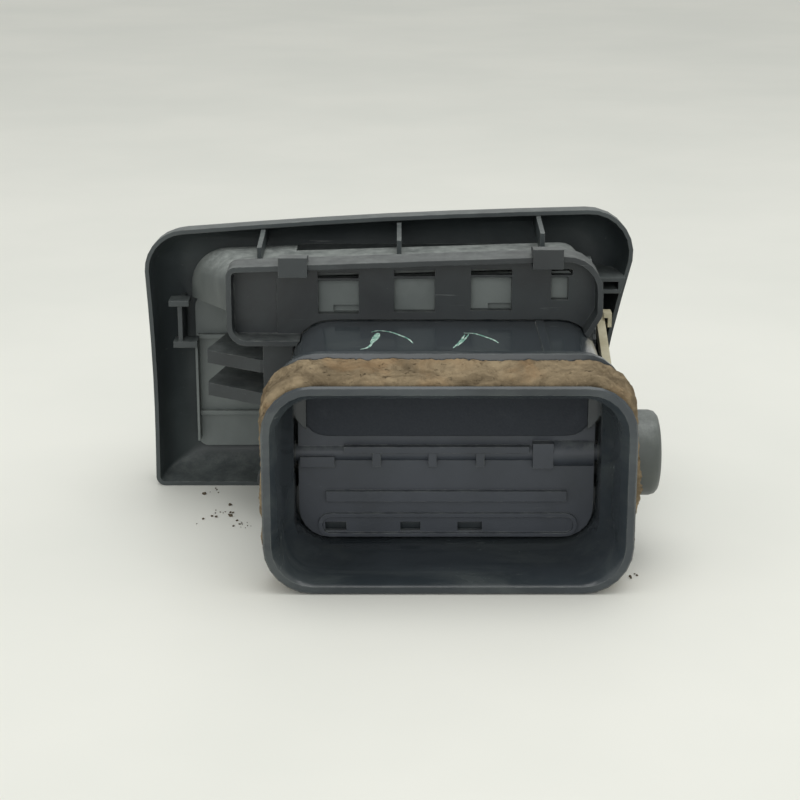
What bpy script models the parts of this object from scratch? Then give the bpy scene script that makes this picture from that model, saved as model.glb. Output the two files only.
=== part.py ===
"""Side air vent of a car dashboard: fascia, louvres, shut-off damper with its linkage, and the
rear duct with a foam seal.

The design axes are X to the right seen from behind, Y forward from the duct mouth to the fascia's
front skin, and Z up from the surface that the part stands on. Lengths are in millimetres here and
are scaled to metres where meshes are made.
"""

import math

import bmesh
import bpy
from mathutils import Matrix, Vector

MM = 0.001
GAP = 0.3

# Fascia: corners of the rim seen from behind, with their radii and the bow of the side that follows.
RIM_CORNERS = [(-93.2, 0.0), (47.5, 0.0), (62.8, 92.4), (-94.6, 84.4)]
RIM_RADII = [3.0, 6.0, 14.0, 13.0]
RIM_BOWS = [0.0, -1.9, 1.0, -0.8]
RIM_Y = 92.0
RIM_WALL = 1.3
RIB_PLACES = [-56.6, -13.8, 30.0]
RIB_REAR = 74.0
SKIN_Y = 110.8
SKIN = 2.2
OPENING = (-50.5, 41.5, 20.5, 75.5)
OPENING_R = 7.0
FUNNEL_Y = 97.5

# Barrel, the tube that holds the louvres.
BARREL_X = (-51.5, 42.5)
BARREL_FLOOR = 8.0
BARREL_ROOF = (79.3, 82.3)
BARREL_Y = (61.2, 97.2)
WALL = 2.0

# Rear collar, with a hood that reaches past the barrel on the left.
HOOD_CORNERS = [(-65.0, 58.8), (41.0, 58.8), (46.5, 68.0), (46.5, 86.4), (-65.0, 82.7)]
HOOD_RADII = [6.0, 4.0, 4.0, 11.0, 3.0]
HOOD_WALL = 1.6
HOOD_Y = 50.0
PLATE_Y = (58.2, 60.9)
PLATE = [(-55.0, 1.0), (47.9, 1.0), (47.9, 48.0), (44.8, 56.0), (44.8, 70.0), (-55.0, 70.0)]
SCREW_PLACES = {"left": (-53.4, 14.0), "right": (49.8, 14.0)}
WINDOW_CENTRES = [-32.0, -9.2, 13.8]
WINDOW_LIFTS = [-0.3, 0.3, 0.7]
WINDOW_WIDTH = 12.2
WINDOW_Z = (67.0, 77.2)
SLIT_Z = (77.9, 79.7)
WINDOW_CUT_Y = (55.0, 63.0)
SHELF_WALL = 1.6

# Duct: mouth at Y 0, seal groove, ridge, and a straight body that enters the collar.
MOUTH = (-52.0, 52.0, 0.0, 61.0)
BODY = (-46.0, 46.0, 3.2, 64.6)
BODY_Y = (18.6, 60.6)

# Louvres. Horizontal ones turn about X, vertical ones about Z.
CENTRE_X = -4.5
BLADE_LEVELS = [27.0, 37.5, 48.0, 58.5, 69.0]
BLADE_PIVOT_Y = 93.0
BLADE_CHORD = 14.0
BLADE_X = (-46.2, 37.2)
VANE_PLACES = [-40.5, -22.5, -4.5, 13.5, 31.5]
VANE_PIVOT_Y = 72.0
VANE_Y = (64.0, 78.0)
VANE_Z = (17.0, 74.0)
CRANK = 6.0
STEER_RADIUS = 12.0

# Damper, its drive wheel and the thumbwheel, joined by a parallel link.
DAMPER = (31.0, 32.0)
THUMB = (90.0, 54.5)
THUMB_RADIUS = 22.3
LINK_CRANK = 7.0
LINK_ANGLE = math.radians(146.0)
LINK_X = (47.9, 50.5)
FLAP = (-43.2, 43.2, 5.9, 61.7)

# From the design axes to the centre of the base.
ORIGIN_SHIFT = (16.4, -56.14, 0.0)



def line_through(first, second):
    """Height at x on the straight line through two (x, z) points."""
    slope = (second[1] - first[1]) / (second[0] - first[0])
    return lambda x: first[1] + (x - first[0]) * slope


top_wall_z = line_through(RIM_CORNERS[3], RIM_CORNERS[2])
hood_top_z = line_through(HOOD_CORNERS[4], HOOD_CORNERS[3])
roof_z = line_through((BARREL_X[0], BARREL_ROOF[0]), (BARREL_X[1], BARREL_ROOF[1]))

# Name: colour, roughness, metallic value.
FINISHES = {
    "trim_plastic": ((0.035, 0.042, 0.044), 0.55, 0.0),
    "housing_plastic": ((0.028, 0.034, 0.036), 0.42, 0.0),
    "gloss_plastic": ((0.022, 0.026, 0.028), 0.12, 0.0),
    "satin_grey_plastic": ((0.10, 0.11, 0.11), 0.35, 0.0),
    "foam": ((0.24, 0.15, 0.08), 0.95, 0.0),
    "natural_acetal": ((0.62, 0.58, 0.42), 0.4, 0.0),
    "steel": ((0.45, 0.46, 0.47), 0.35, 1.0),
    "rubber": ((0.02, 0.02, 0.02), 0.8, 0.0),
}


# ---------------------------------------------------------------- scene and helpers


def clear_scene():
    for obj in list(bpy.data.objects):
        bpy.data.objects.remove(obj, do_unlink=True)


def make_collection(name):
    collection = bpy.data.collections.new(name)
    bpy.context.scene.collection.children.link(collection)
    return collection


def make_materials():
    made = {}
    for name, (colour, roughness, metallic) in FINISHES.items():
        material = bpy.data.materials.new(name)
        material.use_nodes = True
        shader = material.node_tree.nodes["Principled BSDF"]
        shader.inputs["Base Color"].default_value = (*colour, 1.0)
        shader.inputs["Roughness"].default_value = roughness
        shader.inputs["Metallic"].default_value = metallic
        made[name] = material
    return made


clear_scene()
PARTS = make_collection("side_air_vent")
CUTTERS = make_collection("cutters")
MATERIALS = make_materials()


def add_object(name, bm, finish=None):
    """A mesh object from bm. With a finish it is a part, and without one it is a helper."""
    bmesh.ops.recalc_face_normals(bm, faces=bm.faces)
    if bm.calc_volume(signed=True) < 0:
        bmesh.ops.reverse_faces(bm, faces=bm.faces)
    mesh = bpy.data.meshes.new(name)
    bm.to_mesh(mesh)
    bm.free()
    obj = bpy.data.objects.new(name, mesh)
    if finish is None:
        obj.hide_render = True
        obj.display_type = "WIRE"
        CUTTERS.objects.link(obj)
    else:
        mesh.materials.append(MATERIALS[finish])
        PARTS.objects.link(obj)
    return obj


def smooth(obj, angle=35.0):
    obj.data.shade_smooth()
    obj.data.set_sharp_from_angle(angle=math.radians(angle))
    return obj


def boolean(obj, other, operation):
    modifier = obj.modifiers.new(operation.lower(), "BOOLEAN")
    modifier.operation = operation
    modifier.solver = "EXACT"
    modifier.object = other
    return obj


def cut(obj, *cutters):
    for cutter in cutters:
        boolean(obj, cutter, "DIFFERENCE")
    return obj


def join(obj, *others):
    for other in others:
        boolean(obj, other, "UNION")
    return obj


def solidify(obj, thickness):
    """Thickens an open surface towards its inner side."""
    modifier = obj.modifiers.new("wall", "SOLIDIFY")
    modifier.thickness = thickness * MM
    modifier.offset = -1.0
    modifier.use_even_offset = True
    modifier.use_quality_normals = True
    return obj


def box(name, x, y, z, finish=None):
    """A box from (low, high) pairs."""
    bm = bmesh.new()
    bmesh.ops.create_cube(bm, size=1.0)
    size = Vector((x[1] - x[0], y[1] - y[0], z[1] - z[0])) * MM
    centre = Vector((x[0] + x[1], y[0] + y[1], z[0] + z[1])) * MM / 2
    bmesh.ops.transform(bm, matrix=Matrix.Translation(centre) @ Matrix.Diagonal((*size, 1.0)), verts=bm.verts)
    return add_object(name, bm, finish)


AXIS_TURNS = {
    "X": Matrix.Rotation(math.radians(90), 4, "Y"),
    "Y": Matrix.Rotation(math.radians(-90), 4, "X"),
    "Z": Matrix.Identity(4),
}


def cylinder(name, axis, centre, span, radius, finish=None, segments=20):
    """A cylinder along axis over span; centre holds the two other coordinates in X, Y, Z order."""
    bm = bmesh.new()
    length = span[1] - span[0]
    bmesh.ops.create_cone(
        bm, cap_ends=True, segments=segments, radius1=radius * MM, radius2=radius * MM, depth=length * MM
    )
    middle = list(centre)
    middle.insert("XYZ".index(axis), (span[0] + span[1]) / 2)
    place = Matrix.Translation(Vector(middle) * MM) @ AXIS_TURNS[axis]
    bmesh.ops.transform(bm, matrix=place, verts=bm.verts)
    return add_object(name, bm, finish)


def plate(name, loops, axis, span, finish=None):
    """A flat outline with holes, thick along axis. Each loop lists the two other coordinates in order."""
    curve = bpy.data.curves.new(name, "CURVE")
    curve.dimensions = "2D"
    curve.fill_mode = "BOTH"
    curve.extrude = (span[1] - span[0]) / 2 * MM
    for loop in loops:
        spline = curve.splines.new("POLY")
        spline.points.add(len(loop) - 1)
        for point, (a, b) in zip(spline.points, loop):
            point.co = (a * MM, b * MM, 0.0, 1.0)
        spline.use_cyclic_u = True
    flat = bpy.data.objects.new(name + "_outline", curve)
    PARTS.objects.link(flat)
    bpy.context.view_layer.update()
    mesh = bpy.data.meshes.new_from_object(flat.evaluated_get(bpy.context.evaluated_depsgraph_get()))
    bpy.data.objects.remove(flat)
    bm = bmesh.new()
    bm.from_mesh(mesh)
    bpy.data.meshes.remove(mesh)
    bmesh.ops.remove_doubles(bm, verts=bm.verts, dist=1e-6)
    # The outline's own (a, b, thickness) go to the design axes.
    order = {"X": (2, 0, 1), "Y": (0, 2, 1), "Z": (0, 1, 2)}[axis]
    middle = (span[0] + span[1]) / 2 * MM
    for vertex in bm.verts:
        raw = (vertex.co.x, vertex.co.y, vertex.co.z + middle)
        vertex.co = [raw[i] for i in order]
    return add_object(name, bm, finish)


def circle(centre, radius, count=16):
    turn = 2 * math.pi / count
    return [
        (centre[0] + radius * math.cos(turn * i), centre[1] + radius * math.sin(turn * i))
        for i in range(count)
    ]


def rectangle(low_a, high_a, low_b, high_b):
    return [(low_a, low_b), (high_a, low_b), (high_a, high_b), (low_a, high_b)]


def rounded_polygon(corners, radii, arc=5, side=0, bows=None, inset=0.0):
    """A convex polygon, anticlockwise, with an arc in each corner, side points along each side and each
    side bowed outwards. inset moves every side inwards. The count of points depends on arc and side only."""
    count = len(corners)
    bows = bows or [0.0] * count
    points = [Vector(c) for c in corners]
    moved = []
    for i in range(count):
        before = (points[i] - points[i - 1]).normalized()
        after = (points[(i + 1) % count] - points[i]).normalized()
        normal_before = Vector((-before.y, before.x))
        normal_after = Vector((-after.y, after.x))
        share = inset / (1 + normal_before.dot(normal_after))
        moved.append(points[i] + (normal_before + normal_after) * share)
    arcs = []
    for i in range(count):
        corner = moved[i]
        to_before = (moved[i - 1] - corner).normalized()
        to_after = (moved[(i + 1) % count] - corner).normalized()
        radius = max(radii[i] - inset, 0.6)
        half = to_before.angle(to_after) / 2
        centre = corner + (to_before + to_after).normalized() * radius / math.sin(half)
        start = corner + to_before * radius / math.tan(half) - centre
        turn = math.pi - 2 * half
        arcs.append(
            [
                centre + Matrix.Rotation(turn * k / arc, 2) @ start
                for k in range(arc + 1)
            ]
        )
    outline = []
    for i in range(count):
        outline += arcs[i]
        start, end = arcs[i][-1], arcs[(i + 1) % count][0]
        along = end - start
        outward = Vector((along.y, -along.x)).normalized()
        for k in range(1, side + 1):
            share = k / (side + 1)
            outline.append(start + along * share + outward * bows[i] * math.sin(math.pi * share))
    return outline


def rounded_rectangle(limits, radius, arc=5, side=0, inset=0.0):
    low_a, high_a, low_b, high_b = limits
    corners = rectangle(low_a, high_a, low_b, high_b)
    return [tuple(p) for p in rounded_polygon(corners, [radius] * 4, arc, side, None, inset)]


def loft_y(name, rings, finish=None, capped=False):
    """Rings of (x, z) points with one count, each at its own y, joined by quads."""
    bm = bmesh.new()
    made = [[bm.verts.new(Vector((x, y, z)) * MM) for x, z in ring] for y, ring in rings]
    for near, far in zip(made, made[1:]):
        for i in range(len(near)):
            j = (i + 1) % len(near)
            bm.faces.new((near[i], near[j], far[j], far[i]))
    if capped:
        bm.faces.new(made[0])
        bm.faces.new(list(reversed(made[-1])))
    return add_object(name, bm, finish)


def closed_loft(name, rings, finish=None):
    """Rings that run over the outer side and back over the inner one, so that they close on themselves."""
    bm = bmesh.new()
    made = [[bm.verts.new(Vector((x, y, z)) * MM) for x, z in ring] for y, ring in rings]
    for first, second in zip(made, made[1:] + made[:1]):
        for i in range(len(first)):
            j = (i + 1) % len(first)
            bm.faces.new((first[i], first[j], second[j], second[i]))
    return add_object(name, bm, finish)


# ---------------------------------------------------------------- fascia and trim


def rim_outline(inset):
    return rounded_polygon(RIM_CORNERS, RIM_RADII, arc=7, side=5, bows=RIM_BOWS, inset=inset)


def opening_outline(inset):
    return rounded_polygon(rectangle(*OPENING), [OPENING_R] * 4, arc=7, side=5, inset=inset)


def between(first, second, share):
    return [a.lerp(b, share) for a, b in zip(first, second)]


def make_fascia():
    """Trim shell: rim, rounded shoulder, front skin and the funnel that leads into the opening."""
    middle = between(rim_outline(5.0), opening_outline(-2.4), 0.5)
    # Shoulder rings: inset from the rim, share of the way to the middle of the skin, y.
    outer_side = [(0.0, 0.0, RIM_Y), (0.2, 0.0, 98.0), (0.7, 0.03, 103.0)]
    outer_side += [(1.5, 0.12, 107.0), (2.6, 0.36, 109.8)]
    inner_side = [(4.6, 0.36, 107.6), (3.4, 0.12, 105.0), (2.6, 0.03, 101.6)]
    inner_side += [(2.0, 0.0, 97.6), (RIM_WALL, 0.0, RIM_Y)]
    outer_edge = [(-2.4, SKIN_Y), (-0.7, 110.2), (0.0, 108.6), (1.0, FUNNEL_Y)]
    inner_edge = [(-0.8, FUNNEL_Y), (-1.6, 106.4), (-1.7, SKIN_Y - SKIN)]
    rings = [(y, between(rim_outline(inset), middle, share)) for inset, share, y in outer_side]
    rings.append((SKIN_Y, middle))
    rings += [(y, opening_outline(inset)) for inset, y in outer_edge + inner_edge]
    rings.append((SKIN_Y - SKIN, middle))
    rings += [(y, between(rim_outline(inset), middle, share)) for inset, share, y in inner_side]
    fascia = smooth(closed_loft("fascia", rings, "trim_plastic"))
    for i, x in enumerate(RIB_PLACES):
        top, foot = top_wall_z(x) - 1.0, roof_z(x) + GAP
        shoulder = [(108.4, top - 3.6), (105.0, top - 2.2), (101.0, top), (92.4, top)]
        free_edge = [(91.8, top - 0.6), (RIB_REAR, top - 1.8)]
        root = [(RIB_REAR, foot), (98.0, foot), (103.0, top - 6.0), (108.4, top - 6.0)]
        outline = [*root, *shoulder, *free_edge]
        join(fascia, plate(f"rib_{i}", [outline], "X", (x - 0.7, x + 0.7)))
    # Two lugs on a web beside the blank panel, and a boxed lug on the right wall.
    join(fascia, box("lug_upper", (-87.3, -80.9), (92.6, 100.0), (60.2, 62.0)))
    join(fascia, box("lug_lower", (-86.2, -78.6), (92.6, 100.0), (46.6, 48.6)))
    join(fascia, box("lug_web", (-84.6, -83.2), (93.4, 108.6), (47.2, 61.2)))
    socket_outline = [(49.2, 65.4), (56.2, 65.4), (57.6, 70.4), (49.2, 70.4)]
    join(fascia, plate("socket", [socket_outline], "Y", (89.0, 108.6)))
    cut(fascia, box("socket_pocket", (50.6, 55.4), (80.0, 104.0), (66.6, 69.2)))
    cut(fascia, cylinder("thumbwheel_slot", "X", THUMB, (43.0, 47.2), THUMB_RADIUS + 0.7, segments=64))
    for i, x in enumerate((-30.0, 21.0)):
        join(fascia, cylinder(f"lower_boss_{i}", "Y", (x, 12.0), (99.5, 108.8), 3.6))
        cut(fascia, cylinder(f"lower_boss_hole_{i}", "Y", (x, 12.0), (90.0, 107.0), 1.5))
    return fascia


def make_blank_panel():
    """Backing panel of the blank area beside the opening."""
    outline = rounded_rectangle((-80.2, -57.0, 9.8, 60.4), 3.0)
    panel = plate("blank_panel", [outline], "Y", (104.6, 106.0), "satin_grey_plastic")
    join(panel, box("blank_panel_flange", (-80.0, -79.2), (99.4, 105.0), (13.0, 45.8)))
    join(panel, box("blank_panel_rib_upper", (-79.4, -58.5), (102.4, 105.0), (47.0, 48.4)))
    join(panel, box("blank_panel_rib_lower", (-79.4, -58.5), (102.4, 105.0), (21.0, 22.4)))
    return panel


def make_opening_ring():
    """Bright trim ring set just inside the opening."""
    outer = rounded_rectangle(OPENING, OPENING_R, arc=6, inset=1.2)
    inner = rounded_rectangle(OPENING, OPENING_R, arc=6, inset=2.4)
    return plate("opening_ring", [outer, inner], "Y", (104.6, 107.8), "satin_grey_plastic")


# ---------------------------------------------------------------- barrel and collar


def barrel_section(floor, roof):
    """Rounded section whose roof may lie higher at its right end."""
    (left, right), (roof_left, roof_right) = BARREL_X, roof
    corners = [(left, floor), (right, floor), (right, roof_right), (left, roof_left)]
    return [tuple(p) for p in rounded_polygon(corners, [6.0] * 4, arc=5)]


def shelf_section(start, centre, radius, foot):
    """Thin arch: level from start, round a corner, and down to foot."""
    outer, inner = [], []
    for k in range(9):
        turn = math.radians(90 + 90 * k / 8)
        for path, reach in ((outer, radius), (inner, radius - SHELF_WALL)):
            path.append((centre[0] + reach * math.cos(turn), centre[1] + reach * math.sin(turn)))
    outer = [(start, roof_z(start)), *outer, (outer[-1][0], foot)]
    inner = [(start, roof_z(start) - SHELF_WALL), *inner, (inner[-1][0], foot)]
    return outer + inner[::-1]


def make_barrel():
    stations = [(BARREL_Y[0], BARREL_FLOOR, BARREL_ROOF), (88.0, BARREL_FLOOR, BARREL_ROOF)]
    stations.append((BARREL_Y[1], 18.5, (77.3, 77.7)))
    rings = [(y, barrel_section(floor, roof)) for y, floor, roof in stations]
    barrel = smooth(solidify(loft_y("barrel", rings, "housing_plastic"), WALL))
    near = shelf_section(-46.0, (-57.0, 72.1), 7.0, 65.5)
    far = shelf_section(-46.0, (-68.0, 66.7), 12.0, 62.6)
    join(barrel, loft_y("roof_shelf", [(63.0, near), (96.0, far)], capped=True))
    join(barrel, box("boss_web", (41.5, 49.0), (61.2, 74.0), (13.0, 15.0)))
    for side, place in SCREW_PLACES.items():
        join(barrel, cylinder(f"barrel_boss_{side}", "Y", place, (61.2, 74.0), 3.4))
        cut(barrel, cylinder(f"barrel_boss_hole_{side}", "Y", place, (50.0, 71.0), 1.5))
    for i, x in enumerate((-30.0, 21.0)):
        ear = box(f"ear_{i}", (x - 4.5, x + 4.5), (96.0, 99.0), (7.5, 18.6))
        join(barrel, ear, box(f"ear_web_{i}", (x - 0.8, x + 0.8), (80.0, 97.0), (7.2, 15.0)))
        cut(barrel, cylinder(f"ear_hole_{i}", "Y", (x, 12.0), (94.0, 101.0), 1.9))
        cut(barrel, cylinder(f"ear_head_{i}", "Y", (x, 12.0), (78.0, 96.9), 3.4))
    join(barrel, cylinder("pin_boss", "X", THUMB, (41.5, 43.2), 4.0, segments=24))
    cut(barrel, cylinder("pin_boss_hole", "X", THUMB, (38.0, 46.0), 2.0 + GAP))
    return barrel


def hood_outline(inset=0.0):
    """Hood's outline: small corners on the left, a large one at the upper right."""
    return [tuple(p) for p in rounded_polygon(HOOD_CORNERS, HOOD_RADII, arc=6, inset=inset)]


def duct_clearance(name, y):
    """Cutter that leaves a gap all round the duct's body."""
    outline = rounded_rectangle(BODY, 12.0, arc=6, inset=-GAP)
    return plate(name, [outline], "Y", y)


def make_collar():
    """Rear collar: a wall round the duct, windows above it, and a hood that stands out to the rear."""
    collar = plate("rear_collar", [PLATE], "Y", PLATE_Y, "housing_plastic")
    join(collar, plate("hood_wall", [hood_outline()], "Y", PLATE_Y))
    join(collar, plate("hood_lip", [hood_outline(), hood_outline(HOOD_WALL)], "Y", (HOOD_Y, 59.0)))
    for i, (x, lift) in enumerate(zip(WINDOW_CENTRES, WINDOW_LIFTS)):
        limits = (x - WINDOW_WIDTH / 2, x + WINDOW_WIDTH / 2)
        cut(collar, box(f"window_{i}", limits, WINDOW_CUT_Y, (WINDOW_Z[0] + lift, WINDOW_Z[1] + lift)))
        cut(collar, box(f"slit_{i}", limits, WINDOW_CUT_Y, (SLIT_Z[0] + lift, SLIT_Z[1] + lift)))
    cut(collar, box("window_narrow", (31.7, 36.8), WINDOW_CUT_Y, (71.0, 77.9)))
    cut(collar, box("slit_narrow", (31.7, 38.0), WINDOW_CUT_Y, (78.6, 80.4)))
    for side, place in SCREW_PLACES.items():
        join(collar, cylinder(f"collar_lobe_{side}", "Y", place, PLATE_Y, 4.2, segments=24))
    cut(collar, duct_clearance("duct_way", (40.0, 70.0)))
    for side, place in SCREW_PLACES.items():
        cut(collar, cylinder(f"collar_hole_{side}", "Y", place, (50.0, 66.0), 1.9))
    cut(collar, box("left_recess", (-63.2, -50.5), (54.0, 58.9), (60.6, 80.9)))
    for i, level in enumerate((50.6, 40.2)):
        fin = [(-56.0, 60.4), (-54.0, 60.4), (-54.0, 93.0), (-68.0, 93.0), (-73.0, 72.0), (-73.0, 69.4)]
        join(collar, plate(f"fin_{i}", [fin], "Z", (level, level + 1.6)))
        lip = [(-56.0, 58.5), (-54.0, 58.5), (-54.0, 60.6), (-56.0, 60.6), (-72.0, 70.4), (-73.0, 69.4)]
        join(collar, plate(f"fin_lip_{i}", [lip], "Z", (level - 2.4, level + 1.6)))
    join(collar, box("fin_wall", (-55.0, -53.6), (60.0, 80.5), (36.5, 54.5)))
    return collar


def make_deflector():
    """Inner wall that closes the barrel behind the collar's windows."""
    outline = [(-48.6, 65.4), (39.6, 65.4), (39.6, 76.4), (37.2, 79.2), (-46.2, 76.6), (-48.6, 73.6)]
    deflector = plate("upper_deflector", [outline], "Y", (61.4, 63.5), "satin_grey_plastic")
    for i, (x, z) in enumerate(((-29.6, 67.6), (17.0, 68.2))):
        cut(deflector, box(f"deflector_pocket_{i}", (x - 4.0, x + 4.0), (60.0, 63.0), (z - 1.0, z + 1.0)))
    return deflector


def make_retaining_clip(name, x):
    """U-shaped clip pushed over the hood's upper wall from the rear."""
    low, high = hood_top_z(x[0]), hood_top_z(x[1])
    under = low - HOOD_WALL - GAP
    profile = [
        (HOOD_Y - 1.8, under - 1.2),
        (56.5, under - 1.2),
        (56.5, under),
        (HOOD_Y - GAP, under),
        (HOOD_Y - GAP, high + GAP),
        (57.6, high + GAP),
        (57.6, high + 1.4),
        (52.2, high + 2.5),
        (HOOD_Y - 1.8, high + 2.5),
    ]
    return plate(name, [profile], "X", x, "satin_grey_plastic")


def make_screw(name, x, z, head_y, tip_y):
    """Pan-head screw along Y with a cross recess in its head."""
    screw = cylinder(name, "Y", (x, z), (head_y - 1.8, head_y), 2.7, "steel", 16)
    join(screw, cylinder(name + "_shank", "Y", (x, z), (head_y - 0.5, tip_y), 1.2, segments=12))
    cut(screw, box(name + "_slot", (x - 1.6, x + 1.6), (head_y - 3.0, head_y - 0.9), (z - 0.35, z + 0.35)))
    cut(screw, box(name + "_cross", (x - 0.35, x + 0.35), (head_y - 3.0, head_y - 0.9), (z - 1.6, z + 1.6)))
    return smooth(screw)


# ---------------------------------------------------------------- duct, seal and damper


def make_duct():
    """Duct shell from the mouth's lip, through the seal groove and the ridge, to the straight body."""
    stations = [
        (0.0, MOUTH, 14.0, 0.5),
        (0.7, MOUTH, 14.0, 0.0),
        (2.2, MOUTH, 14.0, 0.3),
        (3.0, MOUTH, 14.0, 2.4),
        (14.6, (-49.2, 49.2, 1.8, 63.4), 13.0, 0.0),
        (15.2, (-50.0, 50.0, 0.9, 66.2), 13.0, 0.0),
        (17.2, (-49.6, 49.6, 0.9, 66.4), 13.0, 0.0),
        (BODY_Y[0], BODY, 12.0, 0.0),
        (BODY_Y[1], BODY, 12.0, 0.0),
        (BODY_Y[1], BODY, 12.0, 1.9),
        (19.6, BODY, 12.0, 1.9),
        (15.4, (-47.0, 47.0, 3.9, 61.7), 11.5, 0.0),
        (3.2, (-47.6, 47.6, 4.2, 56.8), 10.5, 0.0),
        (0.6, (-49.2, 49.2, 2.8, 58.2), 11.6, 0.0),
        (0.0, MOUTH, 14.0, 2.4),
    ]
    rings = [(y, rounded_rectangle(limits, r, arc=6, inset=i)) for y, limits, r, i in stations]
    duct = smooth(closed_loft("air_duct", rings, "gloss_plastic"))
    lower = rounded_rectangle((-45.0, 45.0, 4.2, 26.6), 11.0, arc=6)
    upper = rounded_rectangle((-45.0, 45.0, 38.0, 63.6), 11.0, arc=6)
    join(duct, plate("stop_lower", [lower], "Y", (33.7, 35.5)))
    join(duct, plate("stop_upper", [upper], "Y", (26.5, 28.3)))
    inside = rounded_rectangle((-40.6, 40.6, 9.4, 58.4), 8.0, arc=5)
    cut(duct, plate("stop_opening", [inside], "Y", (25.0, 37.0)))
    join(duct, box("top_rib", (27.0, 29.4), (19.5, 56.0), (64.0, 65.2)))
    for side, x in (("left", (-48.0, -42.0)), ("right", (42.0, 48.0))):
        cut(duct, cylinder(f"shaft_hole_{side}", "X", DAMPER, x, 3.7))
    return duct


def make_foam_seal():
    """Foam strip wrapped round the duct behind the mouth's lip."""
    clear = [(3.5, rounded_rectangle(MOUTH, 14.0, arc=6, inset=2.1))]
    clear += [(14.2, rounded_rectangle((-49.2, 49.2, 1.8, 63.4), 13.0, arc=6, inset=-GAP))]
    outer = [(3.5, rounded_rectangle((-53.4, 53.4, 0.3, 62.6), 15.0, arc=6))]
    outer += [(14.2, rounded_rectangle((-53.2, 53.2, 0.3, 66.4), 15.0, arc=6))]
    rings = [outer[0], outer[1], clear[1], clear[0], outer[0]]
    bm = bmesh.new()
    made = [[bm.verts.new(Vector((x, y, z)) * MM) for x, z in ring] for y, ring in rings[:-1]]
    made.append(made[0])
    for first, second in zip(made, made[1:]):
        for i in range(len(first)):
            j = (i + 1) % len(first)
            bm.faces.new((first[i], first[j], second[j], second[i]))
    return smooth(add_object("foam_seal", bm, "foam"))


def make_damper_flap():
    """Flap in its closed place, with a stiffened rear face, the hub and both shaft ends."""
    y, z = DAMPER
    outline = rounded_rectangle(FLAP, 9.0, arc=5)
    flap = plate("damper_flap", [outline], "Y", (y - 0.9, y + 0.9), "housing_plastic")
    join(flap, cylinder("flap_shaft", "X", DAMPER, (-48.4, 58.0), 2.4))
    join(flap, cylinder("hub_right", "X", DAMPER, (30.6, 42.8), 4.0, segments=24))
    join(flap, box("hub_step", (25.0, 31.0), (y - 4.0, y - 0.5), (z - 3.8, z + 3.8)))
    join(flap, box("hub_left", (-42.6, -32.6), (y - 3.4, y - 0.5), (z - 3.6, z - 0.4)))
    join(flap, box("hub_rail", (-29.8, 24.0), (y - 3.2, y - 0.5), (z + 0.6, z + 2.6)))
    for i, x in enumerate((-20.4, -4.1, 9.8)):
        join(flap, box(f"hub_tick_{i}", (x - 1.2, x + 1.2), (y - 3.0, y - 0.5), (z - 3.6, z + 1.0)))
    join(flap, box("lower_stiffener", (-35.2, 35.2), (y - 2.4, y - 0.5), (17.4, 20.6)))
    edge = rounded_rectangle((FLAP[0] + 5.6, FLAP[1] - 4.6, 6.4, 13.6), 3.5, arc=5)
    edge_inside = rounded_rectangle((FLAP[0] + 6.8, FLAP[1] - 5.8, 7.4, 12.4), 2.4, arc=5)
    join(flap, plate("edge_frame", [edge, edge_inside], "Y", (y - 2.0, y - 0.5)))
    for i, limits in enumerate(((-35.6, -29.4), (-13.4, -7.6), (3.4, 10.6))):
        cut(flap, box(f"bleed_slot_{i}", limits, (y - 4.0, y + 4.0), (7.9, 10.6)))
    return flap


def make_damper_seal(name, outline, side):
    """Thin foam pad on the face of the flap that meets a stop."""
    near, far = 0.9 + GAP, 2.4
    span = (DAMPER[0] + side * far, DAMPER[0] + side * near)
    return plate(name, [outline], "Y", (min(span), max(span)), "rubber")


def make_bush(name, outward):
    """Flanged bush for the damper shaft in a side wall of the duct."""
    wall = (43.9, 46.5)
    flange = (46.3, 47.3)
    span = wall if outward > 0 else (-wall[1], -wall[0])
    rim = flange if outward > 0 else (-flange[1], -flange[0])
    whole = (min(span[0], rim[0]), max(span[1], rim[1]))
    bush = cylinder(name, "X", DAMPER, whole, 3.4, "natural_acetal", 24)
    join(bush, cylinder(name + "_flange", "X", DAMPER, rim, 5.0, segments=24))
    cut(bush, cylinder(name + "_bore", "X", DAMPER, (whole[0] - 2, whole[1] + 2), 2.4 + GAP, segments=24))
    return smooth(bush)


def crank_point(centre):
    """Pin centre of a link crank at rest."""
    return (
        centre[0] + LINK_CRANK * math.cos(LINK_ANGLE),
        centre[1] + LINK_CRANK * math.sin(LINK_ANGLE),
    )


def make_damper_wheel():
    """Round drive wheel on the damper shaft, with a rounded outer edge and a crank pin on its inner side."""
    profile = [(61.6, 0.0), (61.6, 9.4), (61.2, 11.0), (60.2, 12.1), (58.8, 12.5), (52.4, 12.5), (52.4, 0.0)]
    bm = bmesh.new()
    points = [bm.verts.new(Vector((x, 0.0, r)) * MM) for x, r in profile]
    edges = [bm.edges.new(pair) for pair in zip(points, points[1:])]
    bmesh.ops.spin(
        bm,
        geom=points + edges,
        cent=(0, 0, 0),
        axis=(1, 0, 0),
        angle=2 * math.pi,
        steps=40,
        use_merge=True,
    )
    bmesh.ops.remove_doubles(bm, verts=bm.verts, dist=1e-6)
    place = Matrix.Translation(Vector((0.0, DAMPER[0], DAMPER[1])) * MM)
    bmesh.ops.transform(bm, matrix=place, verts=bm.verts)
    wheel = smooth(add_object("damper_wheel", bm, "housing_plastic"))
    join(wheel, cylinder("wheel_pin", "X", crank_point(DAMPER), (LINK_X[0] - 0.3, 53.0), 1.5, segments=16))
    cut(wheel, cylinder("wheel_bore", "X", DAMPER, (46.0, 58.4), 2.4 + GAP, segments=24))
    return wheel


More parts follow.
